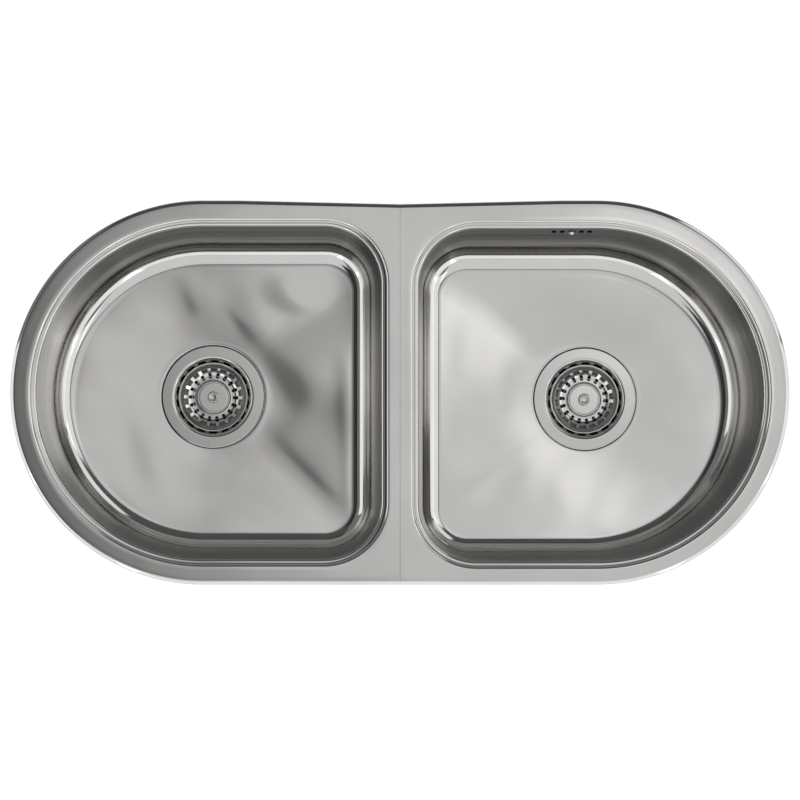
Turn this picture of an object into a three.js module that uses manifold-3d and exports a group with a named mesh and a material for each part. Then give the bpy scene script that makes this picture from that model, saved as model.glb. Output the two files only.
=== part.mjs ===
// An inset double bowl kitchen sink with two basket strainers, an overflow and its rim clips.
// Millimetres. The origin is in the worktop's surface under the middle of the sink,
// +X to the right, +Y to the back and +Z up.
import * as THREE from "three";
import { mergeVertices } from "three/addons/utils/BufferGeometryUtils.js";
import Module from "manifold-3d";

const wasm = await Module();
wasm.setup();

// ---- Driving dimensions ----
// Deck
const SINK_LENGTH = 850;
const SINK_WIDTH = 420;
const SHEET = 1; // stainless sheet of the two pressings
const RIM_HEIGHT = 5; // worktop to the top of the deck
const LIP_RUN = 4.4; // plan width of the rounded lip
const LIP_CLEARANCE = 0.3; // worktop to the lip's raw edge
const WAIST_DIP = 4; // the back edge dips towards the weld
const WAIST_HALF = 175; // from the weld to where the dip starts
const WELD_WIDTH = 2;
// Bowls
const DIVIDER = 27; // deck between the two bowls
const END_LEDGE = 22; // deck between the lip's edge and a bowl, at the round ends
const BOWL_CORNER = 70; // radius of a bowl's two corners at the divider
const BOWL_DEPTH = 170; // worktop to the edge of the bowl's floor
const STEP_RUN = 0.9; // pressed step round each bowl
const STEP_DROP = 1.6;
const LEDGE_RUN = 3; // narrow ledge inside the step
const WALL_ROUND = 3; // radius from the ledge into the wall
const WALL_DRAFT = 4.5; // degrees
const FLOOR_ROUND = 19; // radius from the wall into the floor
const FLOOR_FALL = 3; // the floor falls to its waste
const LEFT_FORWARD = 0; // how far a bowl sits towards the front
const RIGHT_FORWARD = 2.5;
const WASTE_INSET = { left: 6.5, right: 9 }; // from the centre of a round end towards the weld
// Strainers
const FLANGE_RADIUS = 57;
const FLANGE_PLAY = 0.5; // between the flange and the step of its recess
const RECESS_RUN = 1; // plan width of that step
const RECESS_DEPTH = 2;
const WASTE_HOLE = 45.5; // radius of the hole in the floor
const FLANGE_GASKET = 0.8; // thickness
const CUP_SHEET = 0.9;
const CUP_RADIUS = 43; // inside, below the rounded mouth
const CUP_MOUTH = { round: 3.5, draft: 5 }; // radius at the flange, and the slant where it ends
const CUP_DEPTH = 38; // floor of the bowl to floor of the cup
const CUP_FLOOR = 31; // radius
const CUP_FOOT = { taper: 2.5, height: 10 }; // the wall's taper, and the cone under it
const DRAIN_HOLES = 6;
const DRAIN_RADIUS = 5;
const DRAIN_CIRCLE = 18;
const CLAMP_GASKET = 2; // thickness
const GASKET_INSET = 1; // flange's edge to the edges of both gaskets
const HOUSING_WALL = 3.5;
const HOUSING_PLAY = 0.7; // between the radius of the waste hole and the housing's inside
const HOUSING_SHOULDER = 28.5; // floor of the bowl to where the housing narrows
const SPIGOT_RADIUS = 24; // waste outlet, over its thread
const SPIGOT_WALL = 4;
const FUNNEL = { drop: 7.5, height: 8, play: 2 }; // from the housing to the outlet, under the cup
const HOUSING_DEPTH = 92; // floor of the bowl to the outlet's end
const INLET = { radius: 10, wall: 2.2, length: 26, drop: 21 }; // for the overflow's hose
const CLAMP_SCREW = 3; // radius
const CLAMP_HEAD = { radius: 6, height: 2.8, chamfer: 0.8 };
const CLAMP_BOSS = { radius: 8, depth: 24, armWidth: 4, armDepth: 6 };
const DRIVER_SLOT = { width: 1.3, depth: 1.2 }; // in every screw's head
const BASKET_SHEET = 0.8;
const BASKET_RADIUS = 38.2; // at the bead
const BEAD = { lean: 0.5, width: 1.8, height: 1.5 };
const BASKET_TOP = 8; // below the floor of the bowl
const BASKET_FLOOR = 28; // below the floor of the bowl
const BASKET_FOOT = 28; // radius where the wall meets the basket's floor
const FOOT_ROUND = 1.5; // eases the wall into the basket's floor
const BASKET_SLOTS = 18;
const SLOT_WIDTH = 3.4;
const SLOT_INNER = 21.5; // radius where a slot starts in the floor
const SLOT_TOP = 17; // where it ends in the wall, below the floor of the bowl
const BASKET_PHASE = { left: -8.9, right: -6.8 }; // degrees clockwise from the back
const DISC_RADIUS = 18.5; // raised middle of the basket
const DISC_RISE = 1.5;
const KNOB_RADIUS = 6.5;
const KNOB_HEIGHT = 13.5;
const KNOB_NECK = { radius: 4.3, low: 2.7, high: 6.7 }; // heights over the disc
const KNOB_HEAD = 4.3; // height of its upright side
const KNOB_CHAMFER = 1;
const KNOB_BORE = 9.4; // depth of the stem's hole
const STEM_RADIUS = 2.5;
const STEM_HEAD = { radius: 5, height: 1.1 };
const STOPPER = { play: 2, sole: 3, flare: 1, lip: 1.5, shoulder: 2, edge: 4, neck: 16 }; // rubber
// Overflow, in the back wall of the right bowl
const OVERFLOW_INSET = 27; // from the centre of the round end towards the weld
const OVERFLOW_DROP = 24; // worktop to its screw
const OVERFLOW_SLOTS = [-19.5, -10.5, 10.5, 19.5]; // from the screw
const OVERFLOW_SLOT = { width: 5, height: 20 };
const CHAMBER = { length: 66, height: 34, depth: 14, wall: 2.5 };
const OVERFLOW_GASKET = { thickness: 2, width: 4.5 };
const OVERFLOW_SCREW = 2; // radius
const ROSETTE = { radius: 4.6, height: 3, edge: 1 };
const SCREW_BOSS = 5; // radius, in the middle of the chamber
const ELBOW_SPIGOT = { radius: 9, bore: 5, length: 22 };
// Clips
const SEAL_INSET = 5; // lip's edge to the foam strip
const SEAL_WIDTH = 6;
const CLIP_X = 100; // clips on the straight sides, from the weld
const CLIP_ANGLE = 35; // clips on the round ends, from the long axis, degrees
const BRACKET = { inset: 12.5, flange: 5, width: 18, sheet: 1.2, drop: 14, foot: 11 };
const CLIP_SCREW = { radius: 2, head: 4.5, headHeight: 3, inset: 18.3, end: 3, point: 0.6 };
const JAW = { length: 42, tail: 6, width: 12, sheet: 2, tip: 8, level: 46 };
// Clearances
const GAP = 0.3; // between pieces that meet on a curved or slanted face
const HOLE_PLAY = 0.4; // radius of a hole over the radius of its screw
const PAST = 1; // how far a cutting form runs past what it cuts
// Facets
const DECK_STEPS = 18; // round each end of the deck
const LIP_STEPS = 3;
const END_STEPS = 15; // round the end of a bowl
const CORNER_STEPS = 4;
const LONG_STEPS = 3; // along the front and back of a bowl
const SIDE_STEPS = 4; // along its side at the divider
const FILLET_STEPS = 3;
const ROUND_STEPS = 2;
const TURN_STEPS = 2 * BASKET_SLOTS; // round the baskets
const SHORT_TURN = 18; // round the other large rings
const SPIGOT_TURN = 12;
const SCREW_TURN = 8;
const BAR_STEPS = 6; // round each end of the overflow's chamber
const SLOT_STEPS = 3; // round each end of an overflow slot

// ---- Materials ----
const finish = (color, roughness, metalness) => ({ color, roughness, metalness });
const POLISHED = finish(0xb9b8b3, 0.22, 1);
const BRIGHT = finish(0xc8c7c3, 0.14, 1);
const ZINC = finish(0xa9aaa6, 0.4, 1);
const BLACK_RUBBER = finish(0x1c1c1c, 0.8, 0);
const GREY_FOAM = finish(0x55565a, 0.9, 0);
const PAD = finish(0x3a3a3c, 0.95, 0);
const WHITE_PLASTIC = finish(0xe4e3de, 0.45, 0);

// ---- Geometry helpers ----
const rad = THREE.MathUtils.degToRad;
const sin = (degrees) => Math.sin(rad(degrees));
const cos = (degrees) => Math.cos(rad(degrees));

// Points on an arc from one angle to another, in degrees, both ends included.
function arc(cx, cy, radius, from, to, steps) {
  return Array.from({ length: steps + 1 }, (_, i) => {
    const a = from + ((to - from) * i) / steps;
    return new THREE.Vector2(cx + radius * cos(a), cy + radius * sin(a));
  });
}

// Points between the ends of a straight stretch, the ends left out.
const between = (a, b, steps) =>
  Array.from({ length: steps - 1 }, (_, i) => a.clone().lerp(b, (i + 1) / steps));

// An open profile moved sideways by a distance, to the right of its direction, with mitred corners.
function offset(profile, distance) {
  const normals = profile.slice(1).map((p, i) => {
    const d = p.clone().sub(profile[i]).normalize();
    return new THREE.Vector2(d.y, -d.x);
  });
  return profile.map((p, i) => {
    const before = normals[Math.max(i - 1, 0)];
    const after = normals[Math.min(i, normals.length - 1)];
    const mitre = before.clone().add(after).normalize();
    return p.clone().addScaledVector(mitre, distance / mitre.dot(before));
  });
}

// A closed section of one sheet thickness under an open profile.
const sheetSection = (profile, thickness) => [
  ...profile,
  ...offset(profile, -thickness).reverse(),
];

const points = (pairs) => pairs.map(([x, y]) => new THREE.Vector2(x, y));

// Turns a section of (radius, height) about the Z axis. A section off the axis is closed.
function turned(section, steps) {
  const loop = section[0].x > 0 ? [...section, section[0].clone()] : section;
  const area = THREE.ShapeUtils.area(section);
  const outward = area > 0 ? loop : loop.slice().reverse();
  return new THREE.LatheGeometry(outward, steps).rotateX(Math.PI / 2);
}

// Joins rings of equal point counts, ordered upwards and counter-clockwise from above.
// An open loft is closed by a flat cap at each end, a looped one by its first ring.
function loft(rings, looped = false) {
  const n = rings[0].length;
  const verts = rings.flat();
  const faces = [];
  for (let k = 0; k < (looped ? rings.length : rings.length - 1); k++)
    for (let i = 0; i < n; i++) {
      const j = (i + 1) % n;
      const a = k * n + i;
      const b = k * n + j;
      const above = ((k + 1) % rings.length) * n;
      faces.push(a, b, above + j, a, above + j, above + i);
    }
  if (!looped)
    for (const [ring, first, up] of [
      [rings[0], 0, false],
      [rings[rings.length - 1], (rings.length - 1) * n, true],
    ]) {
      const middle = ring
        .reduce((sum, p) => sum.add(p), new THREE.Vector3())
        .divideScalar(n);
      verts.push(middle);
      for (let i = 0; i < n; i++) {
        const edge = [first + i, first + ((i + 1) % n)];
        faces.push(verts.length - 1, ...(up ? edge : edge.reverse()));
      }
    }
  const geometry = new THREE.BufferGeometry().setFromPoints(verts);
  geometry.setIndex(faces);
  return geometry;
}

// A flat shape made thick along Z, from one height to another.
function plate(shape, low, high, steps = BAR_STEPS) {
  return new THREE.ExtrudeGeometry(shape, {
    depth: high - low,
    bevelEnabled: false,
    curveSegments: steps,
  }).translate(0, 0, low);
}

function roundedBar(length, height) {
  const r = height / 2;
  const reach = length / 2 - r;
  const shape = new THREE.Shape();
  shape.absarc(reach, 0, r, -Math.PI / 2, Math.PI / 2);
  shape.absarc(-reach, 0, r, Math.PI / 2, 1.5 * Math.PI);
  return shape;
}

const rod = (radius, low, high, steps = SCREW_TURN) =>
  turned(points([[0, low], [radius, low], [radius, high], [0, high]]), steps);

// The slot across a screw's head of this radius, whose face is at this height.
const driverSlot = (radius, face) =>
  new THREE.BoxGeometry(3 * radius, DRIVER_SLOT.width, 2 * DRIVER_SLOT.depth).translate(0, 0, face);

function solid(geometry) {
  const bare = geometry.clone();
  bare.deleteAttribute("normal");
  bare.deleteAttribute("uv");
  const merged = mergeVertices(bare, 1e-4);
  return new wasm.Manifold(
    new wasm.Mesh({
      numProp: 3,
      vertProperties: new Float32Array(merged.attributes.position.array),
      triVerts: new Uint32Array(merged.index.array),
    }),
  );
}

function surface(manifold) {
  const mesh = manifold.getMesh();
  const indexed = new THREE.BufferGeometry();
  const position = new THREE.BufferAttribute(new Float32Array(mesh.vertProperties), 3);
  indexed.setAttribute("position", position);
  indexed.setIndex(new THREE.BufferAttribute(new Uint32Array(mesh.triVerts), 1));
  const flat = indexed.toNonIndexed();
  flat.computeVertexNormals();
  return flat;
}

const cut = (geometry, ...tools) =>
  surface(tools.map(solid).reduce((whole, tool) => whole.subtract(tool), solid(geometry)));

const sink = new THREE.Group();

function add(parent, name, geometry, material) {
  const mesh = new THREE.Mesh(geometry, new THREE.MeshStandardMaterial(material));
  mesh.name = name;
  mesh.material.name = name;
  parent.add(mesh);
  return mesh;
}

// ---- Deck and bowls ----
const END_X = (SINK_LENGTH - SINK_WIDTH) / 2; // centre of each round end
const HALF_WIDTH = SINK_WIDTH / 2;
const BOWL_HALF = HALF_WIDTH - END_LEDGE;
const UNDER_DECK = RIM_HEIGHT - SHEET;

const waist = (x) => WAIST_DIP * Math.max(0, 1 - Math.abs(x) / WAIST_HALF);

// The deck's outline, moved inwards.
function deckRing(inset, z) {
  const r = HALF_WIDTH - inset;
  return [
    ...arc(END_X, 0, r, -90, 90, DECK_STEPS),
    ...[WAIST_HALF, 0, -WAIST_HALF].map((x) => new THREE.Vector2(x, r - waist(x))),
    ...arc(-END_X, 0, r, 90, 270, DECK_STEPS),
    ...[-WAIST_HALF, 0, WAIST_HALF].map((x) => new THREE.Vector2(x, -r)),
  ].map((p) => new THREE.Vector3(p.x, p.y, z));
}

// A bowl's outline, moved inwards: straight at the divider and round at the sink's end.
function bowlRing(side, inset, z) {
  const r = BOWL_CORNER - inset;
  const x = DIVIDER / 2 + BOWL_CORNER;
  const y = BOWL_HALF - BOWL_CORNER;
  const front = arc(x, -y, r, 180, 270, CORNER_STEPS);
  const end = arc(END_X, 0, BOWL_HALF - inset, -90, 90, END_STEPS);
  const back = arc(x, y, r, 90, 180, CORNER_STEPS);
  const ring = [
    ...front,
    ...between(front.at(-1), end[0], LONG_STEPS),
    ...end,
    ...between(end.at(-1), back[0], LONG_STEPS),
    ...back,
    ...between(back.at(-1), front[0], SIDE_STEPS),
  ].map((p) => new THREE.Vector3(side.sign * p.x, p.y - side.forward, z));
  return side.sign > 0 ? ring : ring.reverse();
}

// A circle about the waste with one point towards each point of the bowl's outline.
function wasteRing(side, radius, z) {
  const centre = new THREE.Vector3(side.sign * side.waste, -side.forward, 0);
  return bowlRing(side, FLOOR_INSET, 0).map((p) =>
    p.sub(centre).normalize().multiplyScalar(radius).add(centre).setZ(z),
  );
}

// Inset and height of a bowl's skin, from the deck's edge to the floor's edge.
function bowlSkin() {
  const ledge = RIM_HEIGHT - STEP_DROP;
  const roundStart = STEP_RUN + LEDGE_RUN;
  const top = arc(roundStart, ledge - WALL_ROUND, WALL_ROUND, 90, WALL_DRAFT, ROUND_STEPS);
  const wallTop = top[top.length - 1];
  const wallFoot = -BOWL_DEPTH + FLOOR_ROUND * (1 - sin(WALL_DRAFT));
  const run = (wallTop.y - wallFoot) * Math.tan(rad(WALL_DRAFT));
  const floorInset = wallTop.x + run + FLOOR_ROUND * cos(WALL_DRAFT);
  return [
    new THREE.Vector2(0, RIM_HEIGHT),
    new THREE.Vector2(STEP_RUN, ledge),
    ...top,
    ...arc(floorInset, FLOOR_ROUND - BOWL_DEPTH, FLOOR_ROUND, 180 + WALL_DRAFT, 270, FILLET_STEPS),
  ];
}

const SKIN = bowlSkin();
const FLOOR_INSET = SKIN[SKIN.length - 1].x;
const FLOOR_Z = -BOWL_DEPTH - FLOOR_FALL; // the floor at the edge of the waste's recess
const SEAT_Z = FLOOR_Z - RECESS_DEPTH;
const RECESS_RADIUS = FLANGE_RADIUS + FLANGE_PLAY;

// How far a bowl's wall is inset at a height on its straight stretch.
function wallInset(z) {
  const top = SKIN[2 + ROUND_STEPS];
  return top.x + (top.y - z) * Math.tan(rad(WALL_DRAFT));
}

// One bowl as a plug: the hollow inside it, or the same moved out by the sheet.
function bowlPlug(side, grow) {
  const skin = grow ? offset(SKIN, grow) : SKIN;
  const drop = -grow;
  const top = skin[0];
  return loft(
    [
      bowlRing(side, top.x, grow ? RIM_HEIGHT - SHEET / 2 : RIM_HEIGHT + SHEET),
      ...skin.map((p) => bowlRing(side, p.x, p.y)),
      wasteRing(side, RECESS_RADIUS + RECESS_RUN, FLOOR_Z + drop),
      wasteRing(side, RECESS_RADIUS + grow, SEAT_Z + drop),
      ...(grow ? [] : [SEAT_Z, SEAT_Z - 2 * SHEET].map((z) => wasteRing(side, WASTE_HOLE, z))),
    ].reverse(),
  );
}

// The deck with its lip, which falls in a quarter of an ellipse.
function deckTray() {
  const rise = RIM_HEIGHT - LIP_CLEARANCE;
  const lip = [
    ...arc(1, 0, 1, 180, 90, LIP_STEPS).map(
      (p) => new THREE.Vector2(LIP_RUN * p.x, LIP_CLEARANCE + rise * p.y),
    ),
    new THREE.Vector2(2 * LIP_RUN, RIM_HEIGHT),
  ];
  const inside = offset(lip, SHEET);
  const below = new THREE.Vector2(inside[0].x, -SHEET);
  return solid(loft(lip.map((p) => deckRing(p.x, p.y)))).subtract(
    solid(loft([below, ...inside].map((p) => deckRing(p.x, p.y)))),
  );
}

const SIDES = {
  left: {
    name: "left",
    sign: -1,
    forward: LEFT_FORWARD,
    waste: END_X - WASTE_INSET.left,
    overflow: false,
  },
  right: {
    name: "right",
    sign: 1,
    forward: RIGHT_FORWARD,
    waste: END_X - WASTE_INSET.right,
    overflow: true,
  },
};

// The overflow's own frame: on the outer skin of the right bowl's back wall, +Y out of the bowl.
const overflow = new THREE.Group();
const overflowWall = wallInset(-OVERFLOW_DROP) - SHEET / cos(WALL_DRAFT);
overflow.position.set(
  END_X - OVERFLOW_INSET,
  BOWL_HALF - overflowWall - RIGHT_FORWARD,
  -OVERFLOW_DROP,
);
overflow.rotation.x = -rad(WALL_DRAFT);
overflow.updateMatrix();
sink.add(overflow);

// Turns a Z-axis form to point along the overflow's +Y.
const alongY = (geometry) => geometry.rotateX(-Math.PI / 2);
const toolReach = SHEET + 3 * PAST;
const overflowTools = [
  ...OVERFLOW_SLOTS.map((x) =>
    alongY(
      plate(
        roundedBar(OVERFLOW_SLOT.height, OVERFLOW_SLOT.width),
        -toolReach,
        toolReach,
        SLOT_STEPS,
      )
        .rotateZ(Math.PI / 2)
        .translate(x, 0, 0),
    ),
  ),
  alongY(rod(OVERFLOW_SCREW + HOLE_PLAY, -toolReach, toolReach)),
].map((tool) => tool.applyMatrix4(overflow.matrix));

let shell = deckTray();
for (const side of Object.values(SIDES)) shell = shell.add(solid(bowlPlug(side, SHEET)));
for (const side of Object.values(SIDES)) shell = shell.subtract(solid(bowlPlug(side, 0)));
for (const tool of overflowTools) shell = shell.subtract(solid(tool));

const half = WELD_WIDTH / 2;
add(sink, "left_bowl_pressing", surface(shell.trimByPlane([-1, 0, 0], half)), POLISHED);
add(sink, "right_bowl_pressing", surface(shell.trimByPlane([1, 0, 0], half)), POLISHED);
const seam = shell.trimByPlane([-1, 0, 0], -half).trimByPlane([1, 0, 0], -half);
add(sink, "centre_weld", surface(seam), POLISHED);

// Foam strip between the deck and the worktop
const sealEdge = SEAL_INSET + SEAL_WIDTH;
const rimSeal = loft(
  [
    deckRing(SEAL_INSET, 0),
    deckRing(SEAL_INSET, UNDER_DECK),
    deckRing(sealEdge, UNDER_DECK),
    deckRing(sealEdge, 0),
  ],
  true,
);
add(sink, "rim_seal", rimSeal, GREY_FOAM);

// Damping pads: a band of each floor, between shares of the way from its edge to the recess
const PAD_THICKNESS = 2.5;
const PAD_BAND = [0.18, 0.8];
for (const side of Object.values(SIDES)) {
  const edge = bowlRing(side, FLOOR_INSET, -BOWL_DEPTH - SHEET - GAP);
  const recess = wasteRing(side, RECESS_RADIUS + RECESS_RUN, FLOOR_Z - SHEET - GAP);
  const ring = (share, drop) =>
    edge.map((p, i) => p.clone().lerp(recess[i], share).sub(new THREE.Vector3(0, 0, drop)));
  const [outer, inner] = PAD_BAND;
  const pad = [
    ring(outer, PAD_THICKNESS),
    ring(outer, 0),
    ring(inner, 0),
    ring(inner, PAD_THICKNESS),
  ];
  add(sink, side.name + "_sound_pad", loft(pad, true), PAD);
}

// ---- Strainers, each in a group whose origin is the floor's level at its waste ----
const FLANGE_UNDER = FLANGE_GASKET - RECESS_DEPTH;
const FLANGE_TOP = FLANGE_UNDER + CUP_SHEET;
const SINK_UNDER = -RECESS_DEPTH - SHEET;
const CLAMP_UNDER = SINK_UNDER - CLAMP_GASKET;
const CUP_UNDER = -CUP_DEPTH - CUP_SHEET;
const BOSS_UNDER = CUP_UNDER - CLAMP_BOSS.depth;

const ringSection = (inner, outer, low, high) =>
  points([[inner, low], [outer, low], [outer, high], [inner, high]]);

function strainerCup() {
  const { round, draft } = CUP_MOUTH;
  const mouth = arc(CUP_RADIUS + round, FLANGE_TOP - round, round, 90, 180 - draft, ROUND_STEPS);
  const skin = [
    new THREE.Vector2(FLANGE_RADIUS, FLANGE_TOP),
    ...mouth,
    ...points([
      [CUP_RADIUS - CUP_FOOT.taper, CUP_FOOT.height - CUP_DEPTH],
      [CUP_FLOOR, -CUP_DEPTH],
      [CLAMP_SCREW + HOLE_PLAY, -CUP_DEPTH],
    ]),
  ];
  const drains = Array.from({ length: DRAIN_HOLES }, (_, i) =>
    rod(DRAIN_RADIUS, CUP_UNDER - PAST, PAST - CUP_DEPTH)
      .translate(DRAIN_CIRCLE, 0, 0)
      .rotateZ((2 * Math.PI * i) / DRAIN_HOLES),
  );
  return cut(turned(sheetSection(skin, CUP_SHEET), SHORT_TURN), ...drains);
}

function wasteBody(side) {
  const top = WASTE_HOLE + HOUSING_PLAY; // inside radius at the clamp gasket
  const bore = SPIGOT_RADIUS - SPIGOT_WALL;
  const funnelTop = -CUP_DEPTH - FUNNEL.drop;
  const neck = funnelTop - FUNNEL.height;
  const funnel = CUP_FLOOR + FUNNEL.play;
  const flangeUnder = CLAMP_UNDER - HOUSING_WALL;
  const section = points([
    [top, CLAMP_UNDER],
    [top, -HOUSING_SHOULDER],
    [funnel, funnelTop],
    [bore, neck],
    [bore, -HOUSING_DEPTH],
    [SPIGOT_RADIUS, -HOUSING_DEPTH],
    [SPIGOT_RADIUS, neck - HOUSING_WALL],
    [funnel + HOUSING_WALL, funnelTop - HOUSING_WALL],
    [top + HOUSING_WALL, -HOUSING_SHOULDER - HOUSING_WALL / 2],
    [top + HOUSING_WALL, flangeUnder],
    [FLANGE_RADIUS, flangeUnder],
    [FLANGE_RADIUS, CLAMP_UNDER],
  ]);
  const { radius, armWidth, armDepth } = CLAMP_BOSS;
  const arm = (angle) =>
    new THREE.BoxGeometry(2 * bore + SPIGOT_WALL, armWidth, armDepth)
      .translate(0, 0, BOSS_UNDER + armDepth / 2)
      .rotateZ(angle);
  let body = solid(turned(section, SHORT_TURN))
    .add(solid(rod(radius, BOSS_UNDER, CUP_UNDER)))
    .add(solid(arm(0)))
    .add(solid(arm(Math.PI / 2)))
    .subtract(solid(rod(CLAMP_SCREW + HOLE_PLAY, BOSS_UNDER - PAST, CUP_UNDER + PAST)));
  if (side.overflow) {
    // points to the back, out of the middle of the housing's wall
    const start = top + HOUSING_WALL / 2;
    const end = start + INLET.length;
    const inlet = (inset, low, high) =>
      solid(alongY(rod(INLET.radius - inset, low, high, SPIGOT_TURN)).translate(0, 0, -INLET.drop));
    body = body
      .add(inlet(0, start, end))
      .subtract(inlet(INLET.wall, start - 2 * HOUSING_WALL, end + PAST));
  }
  return surface(body);
}

function clampScrew() {
  const { radius, height, chamfer } = CLAMP_HEAD;
  const head = -CUP_DEPTH + height;
  const end = BOSS_UNDER - CLAMP_SCREW;
  const section = points([
    [0, end],
    [CLAMP_SCREW, end],
    [CLAMP_SCREW, -CUP_DEPTH],
    [radius, -CUP_DEPTH],
    [radius, head - chamfer],
    [radius - chamfer, head],
    [0, head],
  ]);
  return cut(turned(section, SCREW_TURN), driverSlot(radius, head));
}

const BASKET_DISC = -BASKET_FLOOR + DISC_RISE; // top of the raised disc

// The slots lie in the middles of every other facet.
function basket() {
  const skin = points([
    [BASKET_RADIUS + BEAD.lean, -BASKET_TOP - BEAD.height],
    [BASKET_RADIUS - BEAD.lean, -BASKET_TOP],
    [BASKET_RADIUS - BEAD.width, -BASKET_TOP - BEAD.height],
    [BASKET_FOOT + FOOT_ROUND / 2, FOOT_ROUND - BASKET_FLOOR],
    [BASKET_FOOT - FOOT_ROUND, -BASKET_FLOOR],
    [DISC_RADIUS + DISC_RISE / 2, -BASKET_FLOOR],
    [DISC_RADIUS - DISC_RISE / 2, BASKET_DISC],
    [STEM_RADIUS + HOLE_PLAY, BASKET_DISC],
  ]);
  const reach = BASKET_RADIUS + 2 * PAST - SLOT_INNER;
  const depth = BASKET_FLOOR + 2 * PAST - SLOT_TOP;
  const slots = Array.from({ length: BASKET_SLOTS }, (_, i) =>
    new THREE.BoxGeometry(SLOT_WIDTH, reach, depth)
      .translate(0, SLOT_INNER + reach / 2, -SLOT_TOP - depth / 2)
      .rotateZ((2 * Math.PI * (i + 0.25)) / BASKET_SLOTS),
  );
  return cut(turned(sheetSection(skin, BASKET_SHEET), TURN_STEPS), ...slots);
}

// The rubber stopper's sole covers the drain holes round the clamp screw's head.
const SEAL_ROOF = STOPPER.play + CLAMP_HEAD.height - CUP_DEPTH;

function basketSeal() {
  const top = BASKET_DISC - BASKET_SHEET;
  const bore = STEM_RADIUS + HOLE_PLAY;
  const hollow = CLAMP_HEAD.radius + STOPPER.play;
  const edge = DRAIN_CIRCLE + DRAIN_RADIUS + STOPPER.sole;
  return turned(
    points([
      [hollow, -CUP_DEPTH],
      [edge, -CUP_DEPTH],
      [edge + STOPPER.flare, STOPPER.lip - CUP_DEPTH],
      [edge - STOPPER.shoulder, STOPPER.edge - CUP_DEPTH],
      [STOPPER.neck, top - STOPPER.sole],
      [STOPPER.neck, top],
      [bore, top],
      [bore, SEAL_ROOF],
      [hollow, SEAL_ROOF],
    ]),
    SHORT_TURN,
  );
}

function basketKnob() {
  const at = (height) => BASKET_DISC + height;
  const bore = STEM_RADIUS + GAP;
  return turned(
    points([
      [0, at(KNOB_BORE)],
      [bore, at(KNOB_BORE)],
      [bore, at(0)],
      [KNOB_RADIUS - KNOB_CHAMFER, at(0)],
      [KNOB_NECK.radius, at(KNOB_NECK.low)],
      [KNOB_NECK.radius, at(KNOB_NECK.high)],
      [KNOB_RADIUS, at(KNOB_HEIGHT - KNOB_HEAD)],
      [KNOB_RADIUS, at(KNOB_HEIGHT - KNOB_CHAMFER)],
      [KNOB_RADIUS - KNOB_CHAMFER, at(KNOB_HEIGHT)],
      [0, at(KNOB_HEIGHT)],
    ]),
    SPIGOT_TURN,
  );
}

function basketStem() {
  const end = BASKET_DISC + KNOB_BORE - GAP;
  return turned(
    points([
      [0, SEAL_ROOF - STEM_HEAD.height],
      [STEM_HEAD.radius, SEAL_ROOF - STEM_HEAD.height],
      [STEM_HEAD.radius, SEAL_ROOF],
      [STEM_RADIUS, SEAL_ROOF],
      [STEM_RADIUS, end],
      [0, end],
    ]),
    SCREW_TURN,
  );
}

for (const side of Object.values(SIDES)) {
  const strainer = new THREE.Group();
  strainer.position.set(side.sign * side.waste, -side.forward, FLOOR_Z);
  sink.add(strainer);
  const piece = (name, geometry, material) =>
    add(strainer, side.name + "_" + name, geometry, material);
  const gasket = (inner, low, high) =>
    turned(ringSection(inner, FLANGE_RADIUS - GASKET_INSET, low, high), SHORT_TURN);
  const mouth = CUP_RADIUS + CUP_MOUTH.round + GAP;
  piece("flange_gasket", gasket(mouth, -RECESS_DEPTH, FLANGE_UNDER), BLACK_RUBBER);
  piece("strainer_cup", strainerCup(), BRIGHT);
  piece("clamp_gasket", gasket(WASTE_HOLE + GAP, CLAMP_UNDER, SINK_UNDER), BLACK_RUBBER);
  piece("waste_body", wasteBody(side), WHITE_PLASTIC);
  piece("clamp_screw", clampScrew(), BRIGHT);
  const turn = -BASKET_PHASE[side.name] - 90 / BASKET_SLOTS; // a quarter of a slot's share back
  piece("basket", basket(), BRIGHT).rotation.z = rad(turn);
  piece("basket_knob", basketKnob(), BRIGHT);
  piece("basket_stem", basketStem(), BRIGHT);
  piece("basket_seal", basketSeal(), BLACK_RUBBER);
}

// ---- Overflow ----
// Its forms are made along Z, with what will be down along +Y, and then turned.
const chamberStart = OVERFLOW_GASKET.thickness + 2 * GAP;
const chamberEnd = chamberStart + CHAMBER.depth;
const chamberShape = (inset) =>
  roundedBar(CHAMBER.length - 2 * inset, CHAMBER.height - 2 * inset);
const overflowGasket = cut(
  plate(chamberShape(0), GAP, GAP + OVERFLOW_GASKET.thickness),
  plate(chamberShape(OVERFLOW_GASKET.width), 0, chamberStart),
);
add(overflow, "overflow_gasket", alongY(overflowGasket), BLACK_RUBBER);

function overflowElbow() {
  const { radius, bore, length } = ELBOW_SPIGOT;
  const floor = CHAMBER.height / 2 - CHAMBER.wall;
  const end = CHAMBER.height / 2 + length;
  const down = (r, low, high) =>
    solid(alongY(rod(r, low, high, SPIGOT_TURN)).translate(0, 0, chamberStart + radius));
  const body = solid(plate(chamberShape(0), chamberStart, chamberEnd))
    .add(down(radius, floor, end))
    .subtract(
      solid(plate(chamberShape(CHAMBER.wall), chamberStart - PAST, chamberEnd - CHAMBER.wall)),
    )
    .add(solid(rod(SCREW_BOSS, chamberStart, chamberEnd - PAST)))
    .subtract(solid(rod(OVERFLOW_SCREW + HOLE_PLAY, chamberStart - PAST, chamberEnd + PAST)))
    .subtract(down(bore, floor - PAST, end + PAST));
  return surface(body);
}
add(overflow, "overflow_elbow", alongY(overflowElbow()), WHITE_PLASTIC);

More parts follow.
